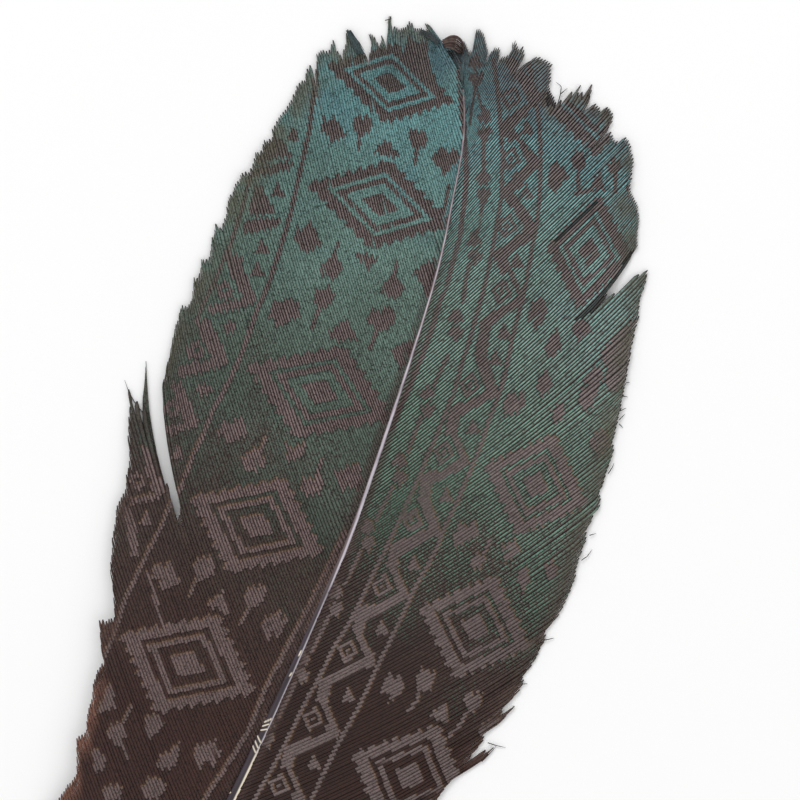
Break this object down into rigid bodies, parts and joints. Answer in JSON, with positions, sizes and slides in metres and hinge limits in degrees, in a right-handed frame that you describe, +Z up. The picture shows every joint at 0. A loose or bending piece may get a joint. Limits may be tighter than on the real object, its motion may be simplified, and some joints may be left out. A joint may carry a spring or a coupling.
{
  "type": "turkey tail feather",
  "caption": "Loose broad turkey tail feather with a dark iridescent surface, an etched diamond and arrow pattern, a downy base and a bare quill.",
  "frame": {"origin": "middle of the area the feather lies on, at the height of the surface under it", "axes": "+Y from the lower end of the quill to the tip of the feather, +X towards the right vane, +Z up out of the glossy side"},
  "size_m": [0.0746, 0.321, 0.0059],
  "materials": {
    "shaft": "smooth horn, pale at the quill and dark towards the vanes, with a lilac-grey ridge",
    "vane": "fine parallel barbs, iridescent teal and green over dark brown, with an etched matte pattern",
    "down": "soft loose grey-brown down"
  },
  "bodies": {
    "root": {"quill": "shaft", "left_vane": "vane", "right_vane": "vane", "left_down": "down", "right_down": "down"}
  },
  "joints": []
}
